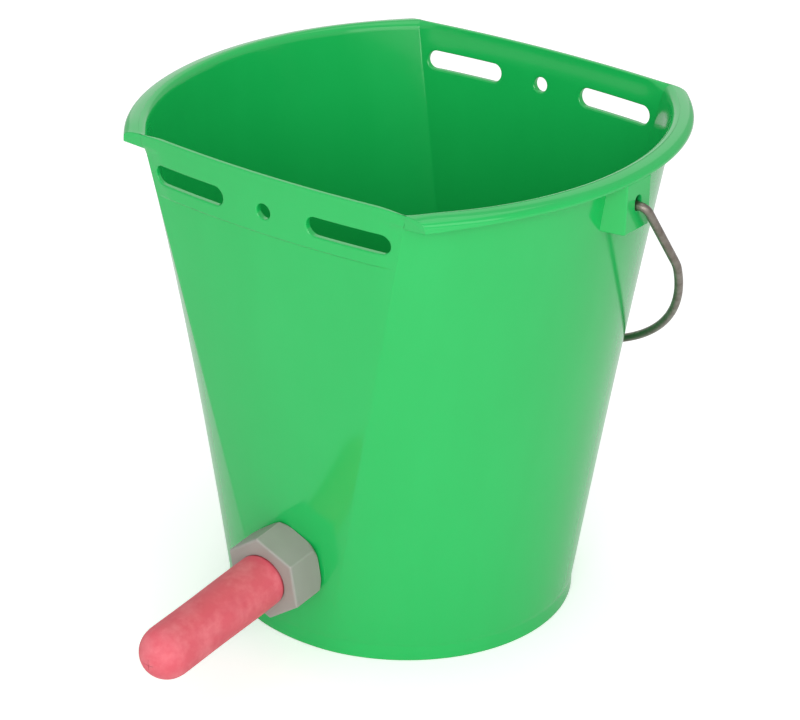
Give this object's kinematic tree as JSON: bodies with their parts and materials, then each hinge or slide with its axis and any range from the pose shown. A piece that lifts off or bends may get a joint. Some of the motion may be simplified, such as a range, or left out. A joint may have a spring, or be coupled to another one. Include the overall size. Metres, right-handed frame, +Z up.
{
  "type": "calf feeding bucket",
  "caption": "Green plastic calf feeding bucket with two slotted flat sides, a wire bail in moulded ears and a rubber teat held by a grey hex nut.",
  "frame": {"origin": "centre of the pail's foot, on the floor that it stands on", "axes": "+Z up, X from ear to ear (the bail's axis), -Y towards the flat that carries the teat"},
  "size_m": [0.2828, 0.3227, 0.265],
  "materials": {
    "green_plastic": "semi-gloss injection-moulded polypropylene",
    "bail_steel": "dull drawn and galvanised wire",
    "grey_plastic": "satin moulded plastic",
    "white_plastic": "plain moulded plastic",
    "seal_rubber": "matte rubber",
    "teat_rubber": "matte pink-red natural rubber, slightly mottled"
  },
  "bodies": {
    "bucket": {"bucket_shell": "green_plastic", "valve_body": "grey_plastic", "flange_seal": "seal_rubber", "ball_cage": "white_plastic", "teat_nut": "grey_plastic", "teat": "teat_rubber"},
    "bail": {"bail_handle": "bail_steel"},
    "valve_ball": {"valve_ball": "white_plastic"}
  },
  "joints": [
    {"name": "bail_swing", "type": "hinge", "parent": "bucket", "child": "bail", "pos_m": [0, 0, 0.2475], "axis": [1, 0, 0], "range_deg": [0, 284.5]},
    {"name": "valve_ball_lift", "type": "slide", "parent": "bucket", "child": "valve_ball", "axis": [0, -0.9948, -0.1019], "range_m": [-0.004, 0]}
  ]
}
